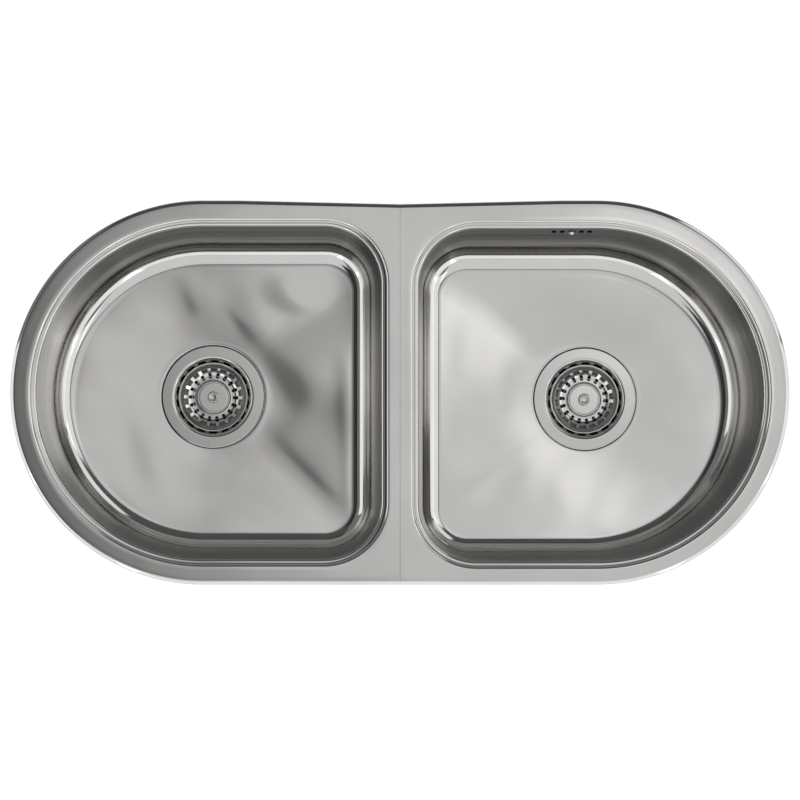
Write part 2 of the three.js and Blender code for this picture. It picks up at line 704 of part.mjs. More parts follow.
function overflowScrew() {
  const { radius, height, edge } = ROSETTE;
  const under = -SHEET - GAP; // on the inside of the bowl
  const end = chamberEnd + OVERFLOW_SCREW;
  const section = points([
    [0, under - height],
    [radius - 2 * edge, under - height],
    [radius, under - edge],
    [radius, under],
    [OVERFLOW_SCREW, under],
    [OVERFLOW_SCREW, end],
    [0, end],
  ]);
  return cut(turned(section, SPIGOT_TURN), driverSlot(radius, under - height));
}
add(overflow, "overflow_screw", alongY(overflowScrew()), BRIGHT);

// ---- Clips, each in a group on the lip's edge, +X out of the sink ----
const clipPlaces = [];
for (const sx of [-1, 1])
  for (const sy of [-1, 1]) {
    const x = sx * CLIP_X;
    const y = sy * HALF_WIDTH - (sy > 0 ? waist(x) : 0);
    clipPlaces.push({ x, y, turn: 90 * sy });
    const angle = sy * CLIP_ANGLE;
    clipPlaces.push({
      x: sx * (END_X + HALF_WIDTH * cos(CLIP_ANGLE)),
      y: HALF_WIDTH * sin(angle),
      turn: sx > 0 ? angle : 180 - angle,
    });
  }

// A section of (distance along +X, height) made thick along Y.
function bent(section, width) {
  const shape = new THREE.Shape(section);
  return plate(shape, -width / 2, width / 2).rotateX(Math.PI / 2);
}

const footUnder = UNDER_DECK - BRACKET.drop;

function clipBracket() {
  const { inset, flange, sheet, width, foot } = BRACKET;
  const section = points([
    [-inset, UNDER_DECK],
    [-inset - flange, UNDER_DECK],
    [-inset - flange, UNDER_DECK - sheet],
    [-inset - sheet, UNDER_DECK - sheet],
    [-inset - sheet, footUnder + sheet],
    [-inset - foot, footUnder + sheet],
    [-inset - foot, footUnder],
    [-inset, footUnder],
  ]);
  const hole = rod(CLIP_SCREW.radius + HOLE_PLAY, footUnder - PAST, footUnder + sheet + PAST);
  return cut(bent(section, width), hole.translate(-CLIP_SCREW.inset, 0, 0));
}

// The jaw lies along +Y at rest, folded under the rim.
function clipJaw() {
  const { length, tail, width, sheet, tip, level } = JAW;
  const section = points([
    [-tail, -level - sheet],
    [length, -level - sheet],
    [length, tip - level],
    [length - sheet, tip - level],
    [length - sheet, -level],
    [-tail, -level],
  ]);
  const arm = bent(section, width).rotateZ(Math.PI / 2);
  const hole = rod(CLIP_SCREW.radius + HOLE_PLAY, -level - sheet - PAST, PAST - level);
  return cut(arm, hole).translate(-CLIP_SCREW.inset, 0, 0);
}

function clipScrew() {
  const { radius, head, headHeight, inset, end, point } = CLIP_SCREW;
  const under = -JAW.level - JAW.sheet;
  const face = under - headHeight;
  const section = points([
    [0, face],
    [head, face],
    [head, under],
    [radius, under],
    [radius, footUnder + end - point],
    [radius - point, footUnder + end],
    [0, footUnder + end],
  ]);
  return cut(turned(section, SCREW_TURN), driverSlot(head, face)).translate(-inset, 0, 0);
}

clipPlaces.forEach(({ x, y, turn }, i) => {
  const clip = new THREE.Group();
  clip.position.set(x, y, 0);
  clip.rotation.z = rad(turn);
  sink.add(clip);
  const name = "clip_" + (i + 1);
  add(clip, name + "_bracket", clipBracket(), ZINC);
  add(clip, name + "_jaw", clipJaw(), ZINC);
  add(clip, name + "_screw", clipScrew(), ZINC);
});

export default sink;
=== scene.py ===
"""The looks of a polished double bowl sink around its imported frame. Metres, +X right, +Y back, +Z up."""

import math

import bmesh
import bpy
import numpy as np
from mathutils import Matrix, Vector


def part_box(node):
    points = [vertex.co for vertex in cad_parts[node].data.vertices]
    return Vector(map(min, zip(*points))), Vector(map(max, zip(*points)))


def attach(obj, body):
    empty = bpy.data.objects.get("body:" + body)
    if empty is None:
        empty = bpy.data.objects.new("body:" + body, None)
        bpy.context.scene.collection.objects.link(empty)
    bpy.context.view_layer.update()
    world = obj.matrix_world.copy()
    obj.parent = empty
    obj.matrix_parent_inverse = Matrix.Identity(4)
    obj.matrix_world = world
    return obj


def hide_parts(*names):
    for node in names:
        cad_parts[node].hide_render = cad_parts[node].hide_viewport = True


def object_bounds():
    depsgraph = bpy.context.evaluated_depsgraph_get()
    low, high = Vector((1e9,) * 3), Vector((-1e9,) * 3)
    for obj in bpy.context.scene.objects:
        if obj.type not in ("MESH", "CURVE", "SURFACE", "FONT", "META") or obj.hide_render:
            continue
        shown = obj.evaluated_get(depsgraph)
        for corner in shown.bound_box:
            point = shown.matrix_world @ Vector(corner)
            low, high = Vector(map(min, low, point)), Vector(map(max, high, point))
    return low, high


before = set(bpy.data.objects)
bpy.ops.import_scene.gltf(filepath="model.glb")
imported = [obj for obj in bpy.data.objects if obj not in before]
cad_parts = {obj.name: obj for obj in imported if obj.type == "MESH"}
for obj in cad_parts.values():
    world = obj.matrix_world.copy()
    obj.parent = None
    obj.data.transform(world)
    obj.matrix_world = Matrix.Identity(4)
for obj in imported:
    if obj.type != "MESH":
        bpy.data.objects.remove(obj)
CAD_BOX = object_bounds()

MM = 0.001

# ---- Sizes of the sink, in metres ----
LENGTH = 850 * MM
WIDTH = 420 * MM
SHEET = 1 * MM
SHEET_DRAWN = SHEET * 0.98  # thickness that the pressings and the weld get here
RIM_HEIGHT = 5 * MM
LIP_RUN = 4.4 * MM
LIP_CLEARANCE = 0.3 * MM
LIP_ROUND = 3.4 * MM
WAIST_DIP = 4 * MM
WAIST_HALF = 175 * MM
WELD_HALF = 1 * MM
DIVIDER = 27 * MM
END_LEDGE = 22 * MM
BOWL_CORNER = 70 * MM
BOWL_DEPTH = 170 * MM
STEP_RUN = 0.9 * MM
STEP_DROP = 1.6 * MM
STEP_CROWN = 3.4 * MM
STEP_START = 2.1 * MM  # how far outside the bowl's outline the deck begins to round over
LEDGE_RUN = 3 * MM
WALL_ROUND = 3 * MM
WALL_DRAFT = math.radians(4.5)
FLOOR_ROUND = 19 * MM
FLOOR_FALL = 3 * MM
FORWARD = {"left": 0.0, "right": 2.5 * MM}
RECESS_RADIUS = 57.1 * MM
RECESS_DEPTH = 2 * MM
RECESS_RUN = 0.5 * MM
RECESS_EDGE = 0.8 * MM
WASTE_HOLE = 45.5 * MM
SIGN = {"left": -1, "right": 1}

END_X = (LENGTH - WIDTH) / 2
HALF_WIDTH = WIDTH / 2
BOWL_HALF = HALF_WIDTH - END_LEDGE
FLOOR_Z = -BOWL_DEPTH - FLOOR_FALL


def waste_centre(side):
    """Middle of a strainer at the level of the bowl's floor, read from the CAD cup."""
    low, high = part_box(side + "_strainer_cup")
    return Vector(((low.x + high.x) / 2, (low.y + high.y) / 2, FLOOR_Z))


# ---- Mesh helpers ----
def new_object(name, verts, faces):
    mesh = bpy.data.meshes.new(name)
    mesh.from_pydata([tuple(v) for v in verts], [], [tuple(f) for f in faces])
    mesh.validate()
    mesh.update()
    obj = bpy.data.objects.new(name, mesh)
    bpy.context.scene.collection.objects.link(obj)
    return obj


def face_outwards(obj):
    bm = bmesh.new()
    bm.from_mesh(obj.data)
    bmesh.ops.recalc_face_normals(bm, faces=bm.faces)
    bm.to_mesh(obj.data)
    bm.free()


def smooth(obj, degrees=32):
    """Smooth shading, with a hard edge wherever two faces meet at more than this angle."""
    bm = bmesh.new()
    bm.from_mesh(obj.data)
    limit = math.radians(degrees)
    for face in bm.faces:
        face.smooth = True
    for edge in bm.edges:
        edge.smooth = edge.is_manifold and edge.calc_face_angle(0) < limit
    bm.to_mesh(obj.data)
    bm.free()
    return obj


def drop_loose(obj):
    """Removes the points that no face uses."""
    bm = bmesh.new()
    bm.from_mesh(obj.data)
    bmesh.ops.delete(bm, geom=[v for v in bm.verts if not v.link_faces], context="VERTS")
    bm.to_mesh(obj.data)
    bm.free()


def apply_modifiers(obj):
    """Puts the object's modifiers into its mesh."""
    graph = bpy.context.evaluated_depsgraph_get()
    graph.update()
    mesh = bpy.data.meshes.new_from_object(obj.evaluated_get(graph))
    obj.modifiers.clear()
    obj.data = mesh
    return obj


def thicken(obj, thickness):
    """Gives a skin its sheet thickness, on the side away from its normals."""
    solid = obj.modifiers.new("sheet", "SOLIDIFY")
    solid.thickness = thickness
    solid.offset = -1
    solid.use_even_offset = True
    return apply_modifiers(obj)


def finish_piece(obj, body, nodes, material):
    obj.data.materials.clear()
    obj.data.materials.append(material)
    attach(obj, body)
    if nodes:
        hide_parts(*nodes)
    return obj


def fillet(profile, radius, steps=5):
    """Rounds each inner corner of a profile of (radius, height) with a small curve."""
    out = [profile[0]]
    for before, corner, after in zip(profile, profile[1:], profile[2:]):
        p0, p1, p2 = (np.array(p, float) for p in (before, corner, after))
        d0, d2 = p0 - p1, p2 - p1
        l0, l2 = np.linalg.norm(d0), np.linalg.norm(d2)
        reach = min(radius, 0.45 * l0, 0.45 * l2)
        a, b = p1 + d0 / l0 * reach, p1 + d2 / l2 * reach
        for t in np.linspace(0, 1, steps):
            out.append(tuple((1 - t) ** 2 * a + 2 * t * (1 - t) * p1 + t * t * b))
    out.append(profile[-1])
    return out


ON_AXIS = 1e-9  # a smaller radius than this is a point on the axis


def turned(name, profile, centre, steps=96):
    """A surface of revolution about the vertical through centre. A profile off the axis closes."""
    on_axis = profile[0][0] < ON_AXIS
    verts, index = [], []
    for r, z in profile:
        if r < ON_AXIS:
            index.append([len(verts)] * steps)
            verts.append((centre.x, centre.y, centre.z + z))
            continue
        index.append(list(range(len(verts), len(verts) + steps)))
        for i in range(steps):
            a = 2 * math.pi * i / steps
            verts.append((centre.x + r * math.cos(a), centre.y + r * math.sin(a), centre.z + z))
    pairs = list(zip(index, index[1:]))
    if not on_axis:
        pairs.append((index[-1], index[0]))
    faces = []
    for low, high in pairs:
        for i in range(steps):
            j = (i + 1) % steps
            corners = [low[i], low[j], high[j], high[i]]
            face = list(dict.fromkeys(corners))
            if len(face) > 2:
                faces.append(face)
    obj = new_object(name, verts, faces)
    face_outwards(obj)
    return smooth(obj)


# ---- Materials ----
def node_material(name):
    material = bpy.data.materials.new(name)
    material.use_nodes = True
    nodes, links = material.node_tree.nodes, material.node_tree.links
    shader = nodes["Principled BSDF"]
    place = nodes.new("ShaderNodeTexCoord")
    return material, nodes, links, shader, place


def noise(nodes, links, place, scale, detail=2.0, stretch=(1, 1, 1), distortion=0.0):
    mapping = nodes.new("ShaderNodeMapping")
    mapping.inputs["Scale"].default_value = stretch
    links.new(place.outputs["Object"], mapping.inputs["Vector"])
    texture = nodes.new("ShaderNodeTexNoise")
    texture.inputs["Scale"].default_value = scale
    texture.inputs["Detail"].default_value = detail
    texture.inputs["Distortion"].default_value = distortion
    links.new(mapping.outputs["Vector"], texture.inputs["Vector"])
    return texture.outputs["Fac"]


def ramp(nodes, links, value, low, high, start=0.3, end=0.7):
    node = nodes.new("ShaderNodeValToRGB")
    node.color_ramp.elements[0].position = start
    node.color_ramp.elements[1].position = end
    node.color_ramp.elements[0].color = low
    node.color_ramp.elements[1].color = high
    links.new(value, node.inputs["Fac"])
    return node.outputs["Color"]


def span(nodes, links, value, low, high, start=0.0, end=1.0):
    node = nodes.new("ShaderNodeMapRange")
    node.inputs["From Min"].default_value = start
    node.inputs["From Max"].default_value = end
    node.inputs["To Min"].default_value = low
    node.inputs["To Max"].default_value = high
    links.new(value, node.inputs["Value"])
    return node.outputs["Result"]


def bump(nodes, links, value, distance, strength=1.0, after=None):
    node = nodes.new("ShaderNodeBump")
    node.inputs["Strength"].default_value = strength
    node.inputs["Distance"].default_value = distance
    links.new(value, node.inputs["Height"])
    if after is not None:
        links.new(after, node.inputs["Normal"])
    return node.outputs["Normal"]


def calculate(nodes, links, operation, *values):
    """A math node, whose values are numbers or sockets."""
    node = nodes.new("ShaderNodeMath")
    node.operation = operation
    for socket, value in zip(node.inputs, values):
        if isinstance(value, (int, float)):
            socket.default_value = value
        else:
            links.new(value, socket)
    return node.outputs[0]


def y_and_z(nodes, links, place):
    """How far back and how high each point of the piece is."""
    split = nodes.new("ShaderNodeSeparateXYZ")
    links.new(place.outputs["Object"], split.inputs[0])
    return split.outputs["Y"], split.outputs["Z"]


def grey(value, warm=0.0):
    return (value * (1 + warm), value, value * (1 - 1.6 * warm), 1)


def level_mask(nodes, links, place, top, top_soft, foot, foot_soft):
    """1 between two heights and 0 outside them, with a soft edge at each."""
    height = y_and_z(nodes, links, place)[1]
    below = span(nodes, links, height, 0.0, 1.0, top, top - top_soft)
    above = span(nodes, links, height, 0.0, 1.0, foot, foot + foot_soft)
    return calculate(nodes, links, "MULTIPLY", below, above)


def darken_with_painted_shade(nodes, links, colour, mask, shade):
    """The colour, multiplied by a shade where the mask is 1."""
    blend = nodes.new("ShaderNodeMix")
    blend.data_type = "RGBA"
    blend.blend_type = "MULTIPLY"
    links.new(mask, blend.inputs["Factor"])
    for socket, value in ((blend.inputs[6], colour), (blend.inputs[7], shade)):
        if isinstance(value, tuple):
            socket.default_value = value
        else:
            links.new(value, socket)
    return blend.outputs[2]


def wall_marks_and_painted_shade(nodes, links, place, colour):
    """Colour, roughness mask and grazing shade of the pressed walls: level bands of drawing marks, and
    painted shade that darkens the walls and their grazing reflection towards the back, most on the upper
    part.
    """
    mask = level_mask(nodes, links, place, *WALL_BAND)
    bands = noise(nodes, links, place, 1.0, 3.0, stretch=(3, 3, 62), distortion=0.3)
    marks_and_painted_shade = ramp(nodes, links, bands, grey(WALL_SHADE_DARKEST), grey(WALL_SHADE_LIGHTEST), 0.35, 0.68)
    start, end, least = BACK_WALL_PAINTED_SHADE
    back = span(nodes, links, y_and_z(nodes, links, place)[0], least, 1.0, start, end)
    upper = level_mask(nodes, links, place, *UPPER_BAND)
    painted_grazing_shade = grey(1.0)
    shades = ((mask, marks_and_painted_shade, grey(WALL_GRAZING_PAINTED_SHADE)), (upper, grey(UPPER_SHADE), grey(UPPER_SHADE)))
    for band, shade, grazing_shade in shades:
        painted_shade = calculate(nodes, links, "MULTIPLY", band, back)
        colour = darken_with_painted_shade(nodes, links, colour, painted_shade, shade)
        painted_grazing_shade = darken_with_painted_shade(nodes, links, painted_grazing_shade, painted_shade, grazing_shade)
    return colour, mask, painted_grazing_shade


def steel(
    name, shade, roughness, grain=(1, 1, 1), grain_height=0.0, ripple=0.0, painted_wall_shade=False, painted_shade=None
):
    """Stainless sheet: slight tone changes, uneven polish, fine grain and shallow ripples, and painted
    shade on walls where asked.
    """
    material, nodes, links, shader, place = node_material(name)
    shader.inputs["Metallic"].default_value = 1.0
    tone = noise(nodes, links, place, 9.0, 3.0, distortion=0.6)
    dark, light = grey(shade * 0.94, 0.012), grey(shade * 1.04, 0.012)
    colour = ramp(nodes, links, tone, dark, light)
    walls = None
    # painted shade on the pressings' walls, with their drawing marks, in the colour and the grazing
    # reflection
    if painted_wall_shade:
        colour, walls, painted_grazing_shade = wall_marks_and_painted_shade(nodes, links, place, colour)
        links.new(painted_grazing_shade, shader.inputs["Specular Tint"])
    # painted shade on the basket's wall, darkening its colour between two heights
    if painted_shade is not None:
        top, foot, level = painted_shade
        band = level_mask(nodes, links, place, top, 0.4 * MM, foot, 1.2 * MM)
        colour = darken_with_painted_shade(nodes, links, colour, band, grey(level))
    links.new(colour, shader.inputs["Base Color"])
    polish = noise(nodes, links, place, 26.0, 4.0)
    low, high = roughness
    rough = span(nodes, links, polish, low, high)
    if walls is not None:
        rough = calculate(nodes, links, "MULTIPLY_ADD", walls, WALL_ROUGHER, rough)
    links.new(rough, shader.inputs["Roughness"])
    normal = None
    if grain_height:
        fine = noise(nodes, links, place, 420.0, 2.0, stretch=grain)
        normal = bump(nodes, links, fine, grain_height)
    if ripple:
        wide = noise(nodes, links, place, 16.0, 1.0, distortion=0.4)
        normal = bump(nodes, links, wide, ripple, after=normal)
    if normal is not None:
        links.new(normal, shader.inputs["Normal"])
    return material


def moulded(name, colour, roughness, scale=180.0, height=0.00004):
    """Moulded plastic or rubber: a fine skin and small changes of tone."""
    material, nodes, links, shader, place = node_material(name)
    tone = noise(nodes, links, place, 30.0, 3.0)
    low = tuple(c * 0.86 for c in colour) + (1,)
    high = tuple(min(c * 1.08, 1) for c in colour) + (1,)
    links.new(ramp(nodes, links, tone, low, high), shader.inputs["Base Color"])
    links.new(span(nodes, links, tone, roughness * 0.85, roughness * 1.1), shader.inputs["Roughness"])
    skin = noise(nodes, links, place, scale, 2.0)
    links.new(bump(nodes, links, skin, height), shader.inputs["Normal"])
    return material


# Bands of the walls that get painted shade: the top and its soft edge, the foot and its soft edge
WALL_BAND = (2 * MM, 6 * MM, -164 * MM, 20 * MM)
UPPER_BAND = (2 * MM, 6 * MM, -125 * MM, 50 * MM)
BACK_WALL_PAINTED_SHADE = (60 * MM, 140 * MM, 0.05)  # between these the walls' painted shade grows to full, from this share on
# Painted shade of the walls: the darkest and lightest factor of the marks, the factor at grazing angles
# and on the upper part
WALL_SHADE_DARKEST, WALL_SHADE_LIGHTEST = 0.5, 0.85
WALL_GRAZING_PAINTED_SHADE = 0.7
UPPER_SHADE = 0.55
WALL_ROUGHER = 0.24
SINK_STEEL = steel("sink_steel", 0.7, (0.06, 0.1), ripple=0.00005, painted_wall_shade=True)
CUP_STEEL = steel("cup_steel", 0.66, (0.06, 0.13), grain_height=0.000004)
BASKET_WALL_PAINTED_SHADE = (FLOOR_Z - 9 * MM, FLOOR_Z - 26.3 * MM, 0.42)  # its top, its foot and how dark its painted shade is
BASKET_STEEL = steel("basket_steel", 0.7, (0.08, 0.14), grain_height=0.000004, painted_shade=BASKET_WALL_PAINTED_SHADE)
ZINC = steel("zinc_steel", 0.5, (0.35, 0.5), grain_height=0.00002)
WELD_STEEL = steel("weld_steel", 0.67, (0.1, 0.16), (1, 0.2, 1), 0.000004)
RUBBER = moulded("black_rubber", (0.018, 0.018, 0.018), 0.6)
FOAM = moulded("grey_foam", (0.1, 0.1, 0.105), 0.9, 900.0, 0.0003)
PAD = moulded("damping_pad", (0.045, 0.045, 0.047), 0.85, 300.0, 0.0002)
PLASTIC = moulded("white_plastic", (0.72, 0.71, 0.68), 0.42)


# ---- The two pressings ----
CORNER_STEPS = 22
LONG_STEPS = 26
END_STEPS = 110
SIDE_STEPS = 44
WALL_STEPS = 52
FLOOR_STEPS = 44

# Level waves of a wall: height, length, how far they wander and how often on the way round
WAVES = ((0.10 * MM, 37 * MM, 1.4, 3), (0.045 * MM, 19 * MM, 2.3, 5), (0.02 * MM, 11 * MM, 0.9, 2))
WAVE_TOP_FADE = 12 * MM  # the waves grow from nothing at height 0 to full this far below it
WAVE_FOOT, WAVE_FOOT_FADE = 6 * MM, 18 * MM  # above the floor's edge: no waves, then growing
# Mean ease of the floor's fillet, how much more at the round end and how much more at the back
EASE = {"left": (3.9 * MM, 0.9 * MM, 3.6 * MM), "right": (4.0 * MM, 0.6 * MM, 6.2 * MM)}
# How far the floor lies out of the middle of the bowl's mouth
LEAN = {"left": (0.0, 0.0), "right": (-7.5 * MM, -1.9 * MM)}
RIPPLE = 0.36  # strength of the floors' ripples
RIPPLE_PHASE = {"left": 0.7, "right": 3.9}
# Where a floor rises across a line, in millimetres: the line's ends, the steepest slope and the
# width at both ends
CREASES = {
    "left": (
        ((-181, 84), (-112, -3), 0.035, 4, 25),
        ((-152, -32), (-58, -129), 0.024, 9, 6),
        ((-64, 22), (-59, -122), 0.042, 8, 6),
        ((-256, 152), (-231, 97), 0.024, 9, 7),
    ),
    "right": (((168, 120), (238, 70), 0.016, 16, 12), ((272, 62), (312, 8), 0.016, 12, 12)),
}
CREASE_REACH = 62  # about how far from its line a crease still shapes the floor, in millimetres
# Where a floor lies nearly level: the middle, the half lengths and the slope that is taken out
LEVEL_SPOTS = {"left": (((-92, 124), (48, 28), (0.015, 0.012)),), "right": ()}


def arc(cx, cy, radius, start, end, steps):
    a = np.radians(np.linspace(start, end, steps + 1))
    return np.stack([cx + radius * np.cos(a), cy + radius * np.sin(a)], 1)


def between(a, b, steps):
    t = np.linspace(0, 1, steps + 1)[1:-1, None]
    return a * (1 - t) + b * t


def bowl_outline(inset, forward):
    """Points of the right bowl's outline, moved inwards, counter-clockwise from its front corner."""
    r = BOWL_CORNER - inset
    x, y = DIVIDER / 2 + BOWL_CORNER, BOWL_HALF - BOWL_CORNER
    front = arc(x, -y, r, 180, 270, CORNER_STEPS)
    end = arc(END_X, 0, BOWL_HALF - inset, -90, 90, END_STEPS)
    back = arc(x, y, r, 90, 180, CORNER_STEPS)
    ring = np.concatenate(
        [
            front,
            between(front[-1], end[0], LONG_STEPS),
            end,
            between(end[-1], back[0], LONG_STEPS),
            back,
            between(back[-1], front[0], SIDE_STEPS),
        ]
    )
    return ring - np.array([0, forward])


def unit_normals(ring):
    """Unit normals of a closed ring of points, outwards where it runs counter-clockwise."""
    along = np.roll(ring, -1, 0) - np.roll(ring, 1, 0)
    normals = np.stack([along[:, 1], -along[:, 0]], 1)
    return normals / np.linalg.norm(normals, axis=1, keepdims=True)


def wall_wave(z, count, phase):
    """Level waves that drawing leaves in a wall, wandering a little on their way round the bowl."""
    turn = np.linspace(0, 2 * math.pi, count, endpoint=False)
    foot = np.clip((z + BOWL_DEPTH - WAVE_FOOT) / WAVE_FOOT_FADE, 0, 1)
    level = foot * np.clip(-z / WAVE_TOP_FADE, 0, 1)
    total = np.zeros(count)
    for height, length, wander, times in WAVES:
        sway = wander * np.sin(times * turn + phase)
        total += height * np.sin(2 * math.pi * z / length + sway + phase)
    return level * total


def margin(normals, inset, side):
    """How much further in a fillet ends than a true quarter round."""
    mean, end, back = EASE[side]
    share = np.clip((inset - FLOOR_INSET) / FLOOR_ROUND + 1, 0, 1)
    return (mean + end * normals[:, 0] + back * normals[:, 1]) * share**2


def skin_ring(inset, z, side):
    """The bowl's outline at an inset, with its drawing waves, its easy fillet and its lean."""
    ring = bowl_outline(inset, FORWARD[side])
    normals = unit_normals(ring)
    out = wall_wave(z, len(ring), RIPPLE_PHASE[side]) - margin(normals, inset, side)
    lean = np.array(LEAN[side]) * np.clip(-z / BOWL_DEPTH, 0, 1)
    return ring + normals * out[:, None] + lean


def bowl_skin():
    """Inset and height of the bowl's skin from the deck's edge to the floor's edge."""
    ledge = RIM_HEIGHT - STEP_DROP
    start = STEP_RUN + LEDGE_RUN
    top = arc(start, ledge - WALL_ROUND, WALL_ROUND, 90, math.degrees(WALL_DRAFT), 8)
    foot = -BOWL_DEPTH + FLOOR_ROUND * (1 - math.sin(WALL_DRAFT))
    run = (top[-1][1] - foot) * math.tan(WALL_DRAFT)
    floor_inset = top[-1][0] + run + FLOOR_ROUND * math.cos(WALL_DRAFT)
    crown = arc(0, RIM_HEIGHT - STEP_CROWN, STEP_CROWN, 90, 34, 8)
    step = [(inset - STEP_START, z) for inset, z in crown]
    step += [(STEP_RUN + 0.05 * MM, ledge + 0.12 * MM), (STEP_RUN + 0.35 * MM, ledge), (start, ledge)]
    turn = 180 + math.degrees(WALL_DRAFT)
    bottom = arc(floor_inset, FLOOR_ROUND - BOWL_DEPTH, FLOOR_ROUND, turn, 270, 18)
    wall = between(top[-1], bottom[0], WALL_STEPS)
    return np.concatenate([np.array(step)[:-1], top, wall, bottom]), floor_inset


SKIN, FLOOR_INSET = bowl_skin()


def waist(x):
    return WAIST_DIP * np.maximum(0, 1 - np.abs(x) / WAIST_HALF)


def deck_end(point, normal, edge_inset):
    """Where a line from a bowl's outline meets the weld or the lip, and which way a lip faces there."""
    hits = []
    if normal[0] < -1e-6:
        s = (WELD_HALF - point[0]) / normal[0]
        hits.append((s, None))
    for sign in (1, -1):
        if sign * normal[1] > 1e-6:
            s = (sign * (HALF_WIDTH - edge_inset) - point[1]) / normal[1]
            if sign > 0:
                for _ in range(4):  # the dip of the back edge depends on where the line meets it
                    x = point[0] + s * normal[0]
                    s = (HALF_WIDTH - edge_inset - waist(x) - point[1]) / normal[1]
            if point[0] + s * normal[0] <= END_X:
                hits.append((s, np.array([0.0, sign])))
    offset = point - np.array([END_X, 0])
    b = offset @ normal
    c = offset @ offset - (HALF_WIDTH - edge_inset) ** 2
    if b * b - c > 0:
        s = -b + math.sqrt(b * b - c)
        hit = point + s * normal
        if hit[0] > END_X:
            hits.append((s, (hit - np.array([END_X, 0])) / (HALF_WIDTH - edge_inset)))
    s, facing = min((h for h in hits if h[0] > 0), key=lambda h: h[0])
    return point + s * normal, facing


def ripples(x, y, phase):
    """Shallow waves that pressing leaves in a polished floor."""
    warp = 0.018 * np.sin(23 * x + 17 * y + phase)
    u, v = x + warp, y - 0.6 * warp
    return (
        0.34 * np.sin(34 * u + 21 * v + phase)
        + 0.26 * np.sin(-19 * u + 47 * v + 2.1 * phase)
        + 0.1 * np.sin(81 * u - 64 * v + 1.3 * phase)
    ) * MM


def crease(x, y, start, end, slope, narrow, wide):
    """A soft rise of the floor across the line from start to end."""
    way = np.array(end, float) - np.array(start, float)
    length = np.linalg.norm(way)
    way /= length
    dx, dy = x / MM - start[0], y / MM - start[1]
    share = (dx * way[0] + dy * way[1]) / length
    across = -dx * way[1] + dy * way[0]
    width = narrow + (wide - narrow) * np.clip(share, 0, 1)
    window = np.exp(-(((share - 0.5) / 0.62) ** 6) - (across / CREASE_REACH) ** 2)
    return slope * width * np.tanh(across / width) * window * MM


def level_spot(x, y, middle, half, slope):
    """A patch that takes the fall out of the floor."""
    dx, dy = x / MM - middle[0], y / MM - middle[1]
    window = np.exp(-(((dx / half[0]) ** 2 + (dy / half[1]) ** 2) ** 2))
    return -(slope[0] * dx + slope[1] * dy) * window * MM


def lip_profile():
    """The rounded lip as (distance outwards, drop): a gentle crown and then a turned-down edge."""
    crown = [(-2.0 * MM, 0), (0.1 * MM, 0), (LIP_RUN - 0.6 * MM, -1.8 * MM)]
    edge = [(LIP_RUN, LIP_CLEARANCE - RIM_HEIGHT)]
    return fillet(crown + edge, LIP_ROUND, 9)[1:]


def floor_rings(side):
    """Rings of points from the waste's hole to the floor's edge, with the ripples and creases."""
    centre = np.array([abs(waste_centre(side).x), waste_centre(side).y])
    edge = skin_ring(FLOOR_INSET, -BOWL_DEPTH, side)
    ways = edge - centre
    reach = np.linalg.norm(ways, axis=1, keepdims=True)
    ways = ways / reach
    seat = FLOOR_Z - RECESS_DEPTH
    recess = fillet(
        [
            (WASTE_HOLE, seat),
            (RECESS_RADIUS, seat),
            (RECESS_RADIUS + RECESS_RUN, FLOOR_Z),
            (RECESS_RADIUS + 4 * MM, FLOOR_Z),
        ],
        RECESS_EDGE,
        6,
    )
    rings = [(centre + ways * r, np.full(len(edge), z)) for r, z in recess[:-1]]
    start = recess[-1][0]
    for t in np.linspace(0, 1, FLOOR_STEPS)[:-1]:
        ring = centre + ways * (start + (reach - start) * t)
        level = FLOOR_Z + FLOOR_FALL * t
        fade = math.sin(math.pi * t) ** 0.7
        x, y = SIGN[side] * ring[:, 0], ring[:, 1]
        wave = RIPPLE * ripples(ring[:, 0], y, RIPPLE_PHASE[side])
        rise = sum(crease(x, y, *place) for place in CREASES[side])
        rise = rise + sum(level_spot(x, y, *place) for place in LEVEL_SPOTS[side])
        rings.append((ring, level + fade * (wave + rise)))
    return rings


def sheet_rings(side):
    """Rings from the waste's hole to the lip, and for each column whether it ends at the lip."""
    rings = floor_rings(side)
    for inset, z in SKIN[::-1]:
        ring = skin_ring(inset, z, side)
        rings.append((ring, np.full(len(ring), z)))
    rim = bowl_outline(SKIN[0][0], FORWARD[side])
    ends = [deck_end(p, n, LIP_RUN) for p, n in zip(rim, unit_normals(rim))]
    stop = np.array([e[0] for e in ends])
    facing = [e[1] for e in ends]
    for sign, dip in ((1, WAIST_DIP), (-1, 0)):
        corner = np.array([WELD_HALF, sign * (HALF_WIDTH - LIP_RUN) - dip])
        nearest = int(np.argmin(np.linalg.norm(stop - corner, axis=1)))
        stop[nearest] = corner
        facing[nearest] = np.array([0.0, sign])
    for t in (0.25, 0.5, 0.7):
        rings.append((rim * (1 - t) + stop * t, np.full(len(rim), RIM_HEIGHT)))
    at_lip = np.array([f is not None for f in facing])
    outward = np.array([f if f is not None else (0, 0) for f in facing])
    lip_start = len(rings)
    for out, drop in lip_profile():
        rings.append((stop + outward * out, np.full(len(rim), RIM_HEIGHT + drop)))
    return rings, at_lip, lip_start


def pressing(side):
    rings, at_lip, lip_start = sheet_rings(side)
    n = len(at_lip)
    verts = np.concatenate([np.column_stack([SIGN[side] * p[:, 0], p[:, 1], z]) for p, z in rings])
    faces = []
    for k in range(len(rings) - 1):
        for i in range(n):
            j = (i + 1) % n
            if k >= lip_start and not (at_lip[i] and at_lip[j]):
                continue
            face = [k * n + i, k * n + j, (k + 1) * n + j, (k + 1) * n + i]
            faces.append(face if side == "left" else face[::-1])
    obj = new_object(side + "_pressing", verts, faces)
    drop_loose(obj)
    return thicken(obj, SHEET_DRAWN)


